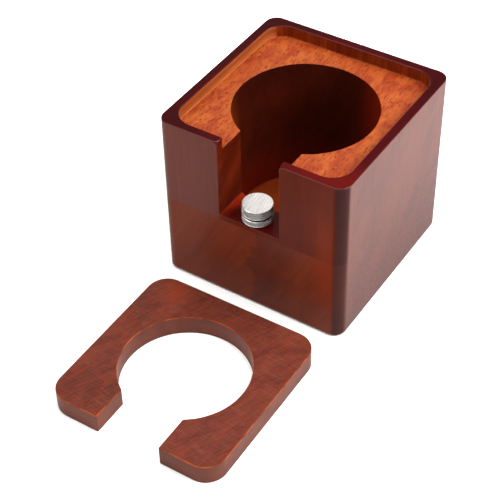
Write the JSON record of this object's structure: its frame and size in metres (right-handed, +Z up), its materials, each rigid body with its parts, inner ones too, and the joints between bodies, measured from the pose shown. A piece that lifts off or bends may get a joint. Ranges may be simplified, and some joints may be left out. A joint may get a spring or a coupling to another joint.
{
  "type": "portafilter stand",
  "caption": "Square wooden stand with a round well, front slot, recessed top and knurled height screw, with a loose C-shaped adapter plate lying in front.",
  "frame": {"origin": "on the table, at the middle of the rectangle that the stand and the plate in front of it cover, on the stand's plane of symmetry", "axes": "+X to the right seen from the front, +Y from the front with the slot to the back, +Z up"},
  "size_m": [0.1, 0.207, 0.0921],
  "materials": {
    "base_wood": "red-brown stained beech, glossy varnish",
    "upper_wood": "red-brown stained beech, glossy varnish, orange in the recess",
    "plate_wood": "red-brown stained beech, satin, sanded faces",
    "brass": "turned brass",
    "stud_steel": "plain steel thread",
    "knurled_steel": "stainless steel, brushed top, knurled edge",
    "foot_rubber": "matt black rubber"
  },
  "bodies": {
    "stand": {"base_block": "base_wood", "upper_block": "upper_wood", "threaded_insert": "brass", "foot_front_left": "foot_rubber", "foot_front_right": "foot_rubber", "foot_rear_left": "foot_rubber", "foot_rear_right": "foot_rubber"},
    "stud": {"height_stud": "stud_steel"},
    "head": {"knurled_head": "knurled_steel"},
    "nut": {"lock_nut": "knurled_steel"},
    "plate": {"adapter_plate": "plate_wood"}
  },
  "joints": [
    {"name": "stud_rise", "type": "slide", "parent": "stand", "child": "stud", "axis": [0, 0, 1], "range_m": [-0.0007, 0.009]},
    {"name": "head_turn", "type": "hinge", "parent": "stud", "child": "head", "pos_m": [0, 0.00969, 0.0535], "axis": [0, 0, 1], "range_deg": [-250, 3240]},
    {"name": "nut_turn", "type": "hinge", "parent": "stand", "child": "nut", "pos_m": [0, 0.00969, 0.0492], "axis": [0, 0, 1], "range_deg": [0, 300]},
    {"name": "plate_lift", "type": "slide", "parent": "stand", "child": "plate", "axis": [0, 0, 1], "range_m": [0, 0.11]}
  ],
  "couplings": [
    {"joint": "stud_rise", "follows": "head_turn", "m_per_rad": 0.00015915}
  ]
}
